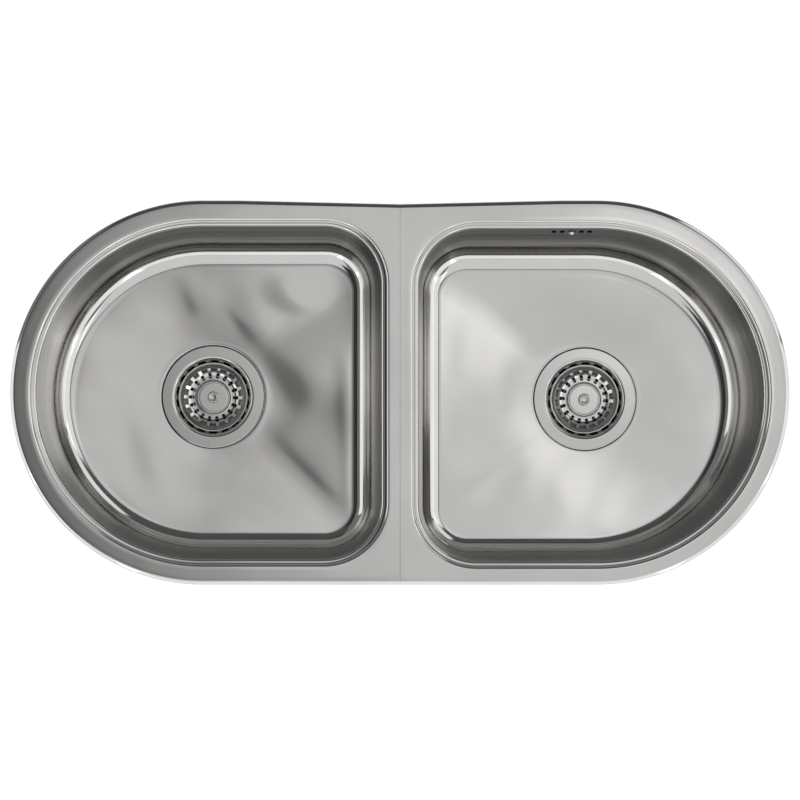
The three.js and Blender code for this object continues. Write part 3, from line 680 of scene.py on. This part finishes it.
# ---- Overflow slots, cut through the right bowl's back wall ----
OVERFLOW_SLOTS = (-19.5 * MM, -10.5 * MM, 10.5 * MM, 19.5 * MM)
SLOT_WIDTH, SLOT_HEIGHT = 5 * MM, 20 * MM


def overflow_place():
    """Middle of the overflow on the wall, from the CAD screw and gasket."""
    low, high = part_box("overflow_screw")
    g_low, g_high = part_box("overflow_gasket")
    return Vector(((low.x + high.x) / 2, (low.y + high.y) / 2, (g_low.z + g_high.z) / 2))


def tilted(place):
    """The wall's own frame: +Y out of the bowl, tilted by the draft."""
    return Matrix.Translation(place) @ Matrix.Rotation(-WALL_DRAFT, 4, "X")


def slot_cutters(place):
    verts, faces = [], []
    steps = 10
    for x in OVERFLOW_SLOTS:
        outline = []
        for sign in (1, -1):
            cz = sign * (SLOT_HEIGHT - SLOT_WIDTH) / 2
            for i in range(steps + 1):
                a = math.pi * i / steps + (0 if sign > 0 else math.pi)
                outline.append((x + SLOT_WIDTH / 2 * math.cos(a), cz + SLOT_WIDTH / 2 * math.sin(a)))
        first, count = len(verts), len(outline)
        for y in (-30 * MM, 20 * MM):
            verts += [(px, y, pz) for px, pz in outline]
        faces.append([first + i for i in range(count)])
        faces.append([first + count + i for i in reversed(range(count))])
        for i in range(count):
            j = (i + 1) % count
            faces.append([first + i, first + count + i, first + count + j, first + j])
    cutter = new_object("overflow_cutter", verts, faces)
    cutter.data.transform(tilted(place))
    face_outwards(cutter)
    return cutter


def cut(obj, cutter):
    boolean = obj.modifiers.new("cut", "BOOLEAN")
    boolean.object = cutter
    boolean.solver = "EXACT"
    apply_modifiers(obj)
    bpy.data.objects.remove(cutter)
    return obj


for side in SIGN:
    sheet = pressing(side)
    if side == "right":
        cut(sheet, slot_cutters(overflow_place()))
    smooth(sheet, 40)
    finish_piece(sheet, "sink", [side + "_bowl_pressing"], SINK_STEEL)


def weld_bead():
    """The seam between the pressings, ground nearly flush: a low bead from lip to lip."""
    lip = lip_profile()
    back = HALF_WIDTH - LIP_RUN - WAIST_DIP
    front = -(HALF_WIDTH - LIP_RUN)
    line = [(front - out, z) for out, z in reversed(lip)]
    flat = np.linspace(front - lip[0][0], back + lip[0][0], 160)[1:-1]
    line += [(y, 0.0) for y in flat]
    line += [(back + out, z) for out, z in lip]
    across = [(-1.0, 0.0), (-0.5, -0.00001), (0.0, -0.00002), (0.5, -0.00001), (1.0, 0.0)]
    verts, faces = [], []
    for k, (y, z) in enumerate(line):
        wander = 0.00008 * math.sin(k * 0.9) + 0.00005 * math.sin(k * 2.3)
        for share, drop in across:
            x = share * WELD_HALF * 0.98 + wander * (1 - abs(share))
            verts.append((x, y, RIM_HEIGHT + z + drop))
    n = len(across)
    for k in range(len(line) - 1):
        for i in range(n - 1):
            faces.append([k * n + i, k * n + i + 1, (k + 1) * n + i + 1, (k + 1) * n + i])
    return smooth(thicken(new_object("weld_bead", verts, faces), SHEET_DRAWN), 50)


finish_piece(weld_bead(), "sink", ["centre_weld"], WELD_STEEL)

# ---- Strainers ----
FLANGE_RADIUS = 57 * MM
FLANGE_TOP = -0.3 * MM
CUP_SHEET = 0.9 * MM
CUP_RADIUS = 41 * MM
CUP_MOUTH = 4.4 * MM
CUP_DEPTH = 38 * MM
SEAT_RADIUS = 34 * MM  # a shallow cone on which the basket's foot stands
SEAT_HEIGHT = -26.9 * MM
SUMP_RADIUS = 26.3 * MM
SUMP_EDGE = -30.1 * MM
DRAINS, DRAIN_RADIUS, DRAIN_CIRCLE = 6, 5 * MM, 18 * MM


def behind(profile, thickness):
    """The same profile, moved by the sheet's thickness to its other side."""
    points = np.array(profile)
    along = np.gradient(points, axis=0)
    across = np.stack([-along[:, 1], along[:, 0]], 1)
    normals = across / np.linalg.norm(along, axis=1, keepdims=True)
    return [tuple(p) for p in points + normals * thickness]


def drain_cutters(centre):
    verts, faces = [], []
    steps = 36
    for k in range(DRAINS):
        turn = 2 * math.pi * k / DRAINS
        x = centre.x + DRAIN_CIRCLE * math.cos(turn)
        y = centre.y + DRAIN_CIRCLE * math.sin(turn)
        first = len(verts)
        for z in (centre.z - CUP_DEPTH - 5 * MM, centre.z - CUP_DEPTH + 3 * MM):
            for i in range(steps):
                a = 2 * math.pi * i / steps
                verts.append((x + DRAIN_RADIUS * math.cos(a), y + DRAIN_RADIUS * math.sin(a), z))
        faces.append([first + i for i in reversed(range(steps))])
        faces.append([first + steps + i for i in range(steps)])
        for i in range(steps):
            j = (i + 1) % steps
            faces.append([first + i, first + j, first + steps + j, first + steps + i])
    cutter = new_object("drain_cutter", verts, faces)
    face_outwards(cutter)
    return cutter


def strainer_cup(side):
    """Flange, rounded mouth, wall, the basket's seat and the sump with its drain holes."""
    centre = waste_centre(side)
    flat = (56.2 * MM, 55.6 * MM, 51 * MM, 46.2 * MM)
    flange = [
        (FLANGE_RADIUS, FLANGE_TOP - 0.45 * MM),
        (FLANGE_RADIUS - 0.2 * MM, FLANGE_TOP - 0.12 * MM),
    ]
    flange += [(r, FLANGE_TOP) for r in flat]
    round_mouth = arc(CUP_RADIUS + CUP_MOUTH, FLANGE_TOP - CUP_MOUTH, CUP_MOUTH, 90, 176, 14)
    mouth = [tuple(p) for p in round_mouth]
    lower = fillet(
        [
            mouth[-1],
            (CUP_RADIUS - 1.2 * MM, -21 * MM),
            (SEAT_RADIUS, SEAT_HEIGHT),
            (SUMP_RADIUS, SUMP_EDGE),
            (SUMP_RADIUS - 0.8 * MM, -CUP_DEPTH),
            (3.4 * MM, -CUP_DEPTH),
        ],
        1.5 * MM,
        6,
    )[1:]
    skin = flange + mouth + lower
    cup = turned(side + "_cup", skin + behind(skin, CUP_SHEET)[::-1], centre, 144)
    return smooth(cut(cup, drain_cutters(centre)))


def stopper(side):
    """The rubber stopper under the basket: a neck and a sole that covers the drain holes."""
    sole, neck, bore = 23.4 * MM, 16 * MM, 3.2 * MM
    profile = fillet(
        [
            (8 * MM, -CUP_DEPTH + 0.2 * MM),
            (sole, -CUP_DEPTH + 0.2 * MM),
            (sole + 0.5 * MM, -CUP_DEPTH + 1.6 * MM),
            (sole - 1.2 * MM, -CUP_DEPTH + 3.8 * MM),
            (neck, -30.3 * MM),
            (neck, -27.4 * MM),
            (bore, -27.4 * MM),
            (bore, -33.1 * MM),
            (8 * MM, -33.1 * MM),
        ],
        0.8 * MM,
        4,
    )
    return turned(side + "_stopper", profile, waste_centre(side), 96)


BASKET_RADIUS = 38.2 * MM
BASKET_SHEET = 0.8 * MM
BASKET_TOP = -8 * MM
BASKET_FLOOR = -28 * MM
BASKET_FOOT = 28 * MM
BASKET_CHAMFER = 1.4 * MM  # rise of the sloping ring between the floor and the wall
SLOTS = 18
BASKET_SLOT = 3.8 * MM
SLOT_INNER = 21.0 * MM
SLOT_TOP_Z = -17 * MM
DISC_RADIUS = 18.5 * MM
DISC_TOP = -26.5 * MM
PHASE = {"left": -8.9, "right": -6.8}  # the first slot's turn from straight back, clockwise, in degrees


def basket(side):
    """The perforated basket: a turned skin whose columns follow the edges of its slots."""
    profile = fillet(
        [
            (BASKET_RADIUS + 0.4 * MM, BASKET_TOP - 1.6 * MM),
            (BASKET_RADIUS + 0.2 * MM, BASKET_TOP - 0.2 * MM),
            (BASKET_RADIUS - 0.2 * MM, BASKET_TOP),
            (BASKET_RADIUS - 1.3 * MM, BASKET_TOP),
            (BASKET_RADIUS - 1.8 * MM, BASKET_TOP - 1.6 * MM),
            (BASKET_FOOT + 0.6 * MM, BASKET_FLOOR + BASKET_CHAMFER),
            (BASKET_FOOT - 3 * MM, BASKET_FLOOR),
            (DISC_RADIUS + 0.7 * MM, BASKET_FLOOR),
            (DISC_RADIUS - 0.5 * MM, DISC_TOP),
            (DISC_RADIUS - 1.6 * MM, DISC_TOP),
            (DISC_RADIUS - 2.0 * MM, DISC_TOP - 0.25 * MM),
            (DISC_RADIUS - 2.4 * MM, DISC_TOP),
            (2.9 * MM, DISC_TOP),
        ],
        0.8 * MM,
        5,
    )
    fine = [profile[0]]
    for a, b in zip(profile, profile[1:]):
        length = math.hypot(b[0] - a[0], b[1] - a[1])
        pieces = max(1, int(length / (1.2 * MM)))
        fine += [
            (a[0] + (b[0] - a[0]) * i / pieces, a[1] + (b[1] - a[1]) * i / pieces)
            for i in range(1, pieces + 1)
        ]
    round_end = BASKET_SLOT / 2

    def half_angle(r, z):
        """Half the angle that a slot takes at this ring, and whether the ring is inside the slot."""
        inside = r > SLOT_INNER and z < SLOT_TOP_Z
        width = BASKET_SLOT / 2
        if inside and r < SLOT_INNER + round_end:
            width *= math.sqrt(max(0.16, 1 - ((SLOT_INNER + round_end - r) / round_end) ** 2))
        return math.degrees(math.asin(width / max(r, SLOT_INNER))), inside

    centre = waste_centre(side)
    verts, inside_ring = [], []
    for r, z in fine:
        e, inside = half_angle(r, z)
        inside_ring.append(inside)
        for k in range(SLOTS):
            middle = 90 - PHASE[side] - 360 / SLOTS * k
            for a in (-10, -8.2, -6.4, -e, 0, e, 6.4, 8.2):  # one for each column
                t = math.radians(middle + a)
                verts.append((centre.x + r * math.cos(t), centre.y + r * math.sin(t), centre.z + z))
    columns = 8
    ring = SLOTS * columns
    faces = []
    # the slots follow one another clockwise, and the columns of one run counter-clockwise
    order = [k * columns + c for k in reversed(range(SLOTS)) for c in range(columns)]
    for row in range(len(fine) - 1):
        for i in range(ring):
            here, after = order[i], order[(i + 1) % ring]
            column = here % columns
            if column in (3, 4) and inside_ring[row] and inside_ring[row + 1]:
                continue
            low, high = row * ring, (row + 1) * ring
            faces.append([low + here, low + after, high + after, high + here])
    obj = new_object(side + "_basket_sheet", verts, faces)
    drop_loose(obj)
    return smooth(thicken(obj, BASKET_SHEET), 35)


KNOB_RADIUS = 6.5 * MM
KNOB_TOP = -13 * MM


def knob(side):
    profile = fillet(
        [
            (0, KNOB_TOP - 0.9 * MM),
            (3.6 * MM, KNOB_TOP - 0.8 * MM),
            (4.6 * MM, KNOB_TOP),
            (KNOB_RADIUS, KNOB_TOP - 0.2 * MM),
            (KNOB_RADIUS, KNOB_TOP - 4.3 * MM),
            (KNOB_RADIUS - 2.2 * MM, DISC_TOP + 6.7 * MM),
            (KNOB_RADIUS - 2.2 * MM, DISC_TOP + 2.7 * MM),
            (KNOB_RADIUS - 0.5 * MM, DISC_TOP),
            (2.8 * MM, DISC_TOP),
            (2.8 * MM, DISC_TOP + 9.4 * MM),
            (0, DISC_TOP + 9.4 * MM),
        ],
        1.2 * MM,
        5,
    )
    return turned(side + "_knob", profile, waste_centre(side), 64)


for side in SIGN:
    finish_piece(strainer_cup(side), "sink", [side + "_strainer_cup"], CUP_STEEL)
    body = side + "_basket_body"
    finish_piece(basket(side), body, [side + "_basket"], BASKET_STEEL)
    finish_piece(knob(side), body, [side + "_basket_knob"], CUP_STEEL)
    finish_piece(stopper(side), side + "_stopper", [side + "_basket_seal"], RUBBER)

# ---- CAD nodes that stay, with their own materials ----
KEPT = (
    (RUBBER, ("gasket",)),
    (FOAM, ("rim_seal",)),
    (PAD, ("sound_pad",)),
    (PLASTIC, ("waste_body", "elbow")),
    (CUP_STEEL, ("clamp_screw", "basket_stem", "overflow_screw")),
    (ZINC, ("clip_",)),
)
for name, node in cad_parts.items():
    if node.hide_render:
        continue
    for material, words in KEPT:
        if any(word in name for word in words):
            node.data.materials.clear()
            node.data.materials.append(material)

# ---- Camera: nearly straight above, leaning a little to the front ----
FRAME_SPAN = 870.8 * MM  # what the picture's side covers at the rim
CAMERA_DISTANCE = 7.3
CAMERA_ELEVATION = math.radians(88.5)
CAMERA_TARGET = Vector((0.1 * MM, -8.3 * MM, RIM_HEIGHT))
CAMERA_CLIP = 60
SENSOR = 36.0

camera_data = bpy.data.cameras.new("camera")
camera_data.sensor_width = SENSOR
camera_data.lens = SENSOR * CAMERA_DISTANCE / FRAME_SPAN
camera_data.clip_end = CAMERA_CLIP
camera = bpy.data.objects.new("camera", camera_data)
bpy.context.scene.collection.objects.link(camera)
to_camera = Vector((0, -math.cos(CAMERA_ELEVATION), math.sin(CAMERA_ELEVATION)))
camera.location = CAMERA_TARGET + to_camera * CAMERA_DISTANCE
camera.rotation_mode = "QUATERNION"
camera.rotation_quaternion = (-to_camera).to_track_quat("-Z", "Y")
bpy.context.scene.camera = camera

# ---- Stage ----
FLOOR_LEVEL = CAD_BOX[0].z - 2 * MM
FLOOR_HALF = 14.0
FLOOR_SHADE = 0.85
FLOOR_GLOW = 0.75  # what the floor adds of its own where the camera or the steel sees it


def rectangle(name, x0, y0, x1, y1, z):
    return new_object(name, [(x0, y0, z), (x1, y0, z), (x1, y1, z), (x0, y1, z)], [(0, 1, 2, 3)])


def aim(obj, place, axis):
    """Puts an object here, with one of its axes towards the sink."""
    obj.location = place
    obj.rotation_mode = "QUATERNION"
    obj.rotation_quaternion = (Vector((0, 0, 0)) - Vector(place)).to_track_quat(axis, "Y")


def floor():
    obj = rectangle("floor", -FLOOR_HALF, -FLOOR_HALF, FLOOR_HALF, FLOOR_HALF, FLOOR_LEVEL)
    material, nodes, links, shader, _ = node_material("pale_floor")
    shader.inputs["Base Color"].default_value = grey(FLOOR_SHADE)
    shader.inputs["Roughness"].default_value = 0.9
    rays = nodes.new("ShaderNodeLightPath").outputs
    seen = calculate(nodes, links, "MAXIMUM", rays["Is Camera Ray"], rays["Is Glossy Ray"])
    seen = calculate(nodes, links, "MAXIMUM", seen, rays["Is Transmission Ray"])
    light = nodes.new("ShaderNodeEmission")
    links.new(calculate(nodes, links, "MULTIPLY", seen, FLOOR_GLOW), light.inputs["Strength"])
    total = nodes.new("ShaderNodeAddShader")
    links.new(shader.outputs[0], total.inputs[0])
    links.new(light.outputs[0], total.inputs[1])
    links.new(total.outputs[0], nodes["Material Output"].inputs["Surface"])
    obj.data.materials.append(material)


def card(name, place, width, height, shade):
    """A large matt card of the studio, seen only in reflections."""
    obj = rectangle(name, -width / 2, -height / 2, width / 2, height / 2, 0)
    aim(obj, place, "Z")
    material, nodes, links, shader, _ = node_material(name)
    shader.inputs["Base Color"].default_value = grey(shade)
    shader.inputs["Roughness"].default_value = 1.0
    obj.data.materials.append(material)
    obj.visible_camera = False
    obj.visible_shadow = False
    obj.visible_diffuse = False


def soft_light(name, place, size, radiance):
    """A soft box whose face has this radiance."""
    data = bpy.data.lights.new(name, "AREA")
    data.shape = "RECTANGLE"
    data.size, data.size_y = size
    data.energy = radiance * math.pi * size[0] * size[1]
    obj = bpy.data.objects.new(name, data)
    aim(obj, place, "-Z")
    obj.visible_camera = False
    bpy.context.scene.collection.objects.link(obj)


# How bright the overhead panel is at a distance from its middle: a soft box that falls off
PANEL_HEIGHT = 5.0
PANEL_MIDDLE = (0.47, 0.30)
PANEL_LOW, PANEL_HIGH = (-1.2, -0.5), (1.7, 1.3)
PANEL_REACH = 1.8
FALL_OFF = (
    (0.0, 1.15),
    (0.1, 1.1),
    (0.25, 0.7),
    (0.75, 0.68),
    (0.85, 0.47),
    (1.0, 0.38),
    (1.1, 0.26),
    (1.18, 0.18),
    (1.6, 0.12),
)


def overhead_panel():
    (x0, y0), (x1, y1) = PANEL_LOW, PANEL_HIGH
    z = PANEL_HEIGHT
    corners = [(x0, y0, z), (x0, y1, z), (x1, y1, z), (x1, y0, z)]
    obj = new_object("overhead_panel", corners, [(0, 1, 2, 3)])
    material, nodes, links, shader, place = node_material("overhead_panel")
    nodes.remove(shader)
    apart = nodes.new("ShaderNodeVectorMath")
    apart.operation = "DISTANCE"
    apart.inputs[1].default_value = (*PANEL_MIDDLE, z)
    links.new(place.outputs["Object"], apart.inputs[0])
    share = calculate(nodes, links, "DIVIDE", apart.outputs["Value"], PANEL_REACH)
    fall = nodes.new("ShaderNodeValToRGB")
    stops = fall.color_ramp.elements
    while len(stops) < len(FALL_OFF):
        stops.new(0.5)
    for stop, (distance, level) in zip(stops, FALL_OFF):
        stop.position = distance / PANEL_REACH
        stop.color = grey(level / FALL_OFF[0][1])
    links.new(share, fall.inputs["Fac"])
    light = nodes.new("ShaderNodeEmission")
    light.inputs["Strength"].default_value = FALL_OFF[0][1]
    links.new(fall.outputs["Color"], light.inputs["Color"])
    links.new(light.outputs[0], nodes["Material Output"].inputs["Surface"])
    obj.data.materials.append(material)
    obj.visible_camera = False


# Soft boxes round the sink: name, place, size and radiance
LIGHTS = (
    ("front_fill", (0, -2.1, 4.45), (4.0, 3.2), 0.6),
    ("right_fill", (2.7, 0, 4.4), (3.2, 2.6), 0.8),
    ("front_light", (0, -3.9, 2.0), (4.2, 3.0), 0.9),
    ("front_right_light", (2.95, -2.75, 2.5), (3.1, 3.2), 0.9),
    ("front_left_light", (-3.0, -2.8, 2.5), (3.1, 3.0), 0.9),
    ("back_right_light", (3.1, 2.5, 2.5), (3.1, 3.0), 0.75),
    ("left_light", (-3.8, -0.3, 1.9), (2.6, 3.0), 0.9),
    ("right_light", (3.8, -0.3, 1.9), (2.6, 3.0), 0.9),
)
WORLD_SHADE = 0.2

floor()
overhead_panel()
for light in LIGHTS:
    soft_light(*light)
card("back_flag", (0, 2.77, 3.67), 5.0, 3.7, 0.14)
card("left_flag", (-1.76, 0, 4.57), 3.0, 1.4, 0.05)

world = bpy.data.worlds.new("studio")
bpy.context.scene.world = world
world.use_nodes = True
world.node_tree.nodes["Background"].inputs["Color"].default_value = grey(WORLD_SHADE)
world.node_tree.nodes["Background"].inputs["Strength"].default_value = 1.0

bpy.context.scene.view_settings.view_transform = "Standard"
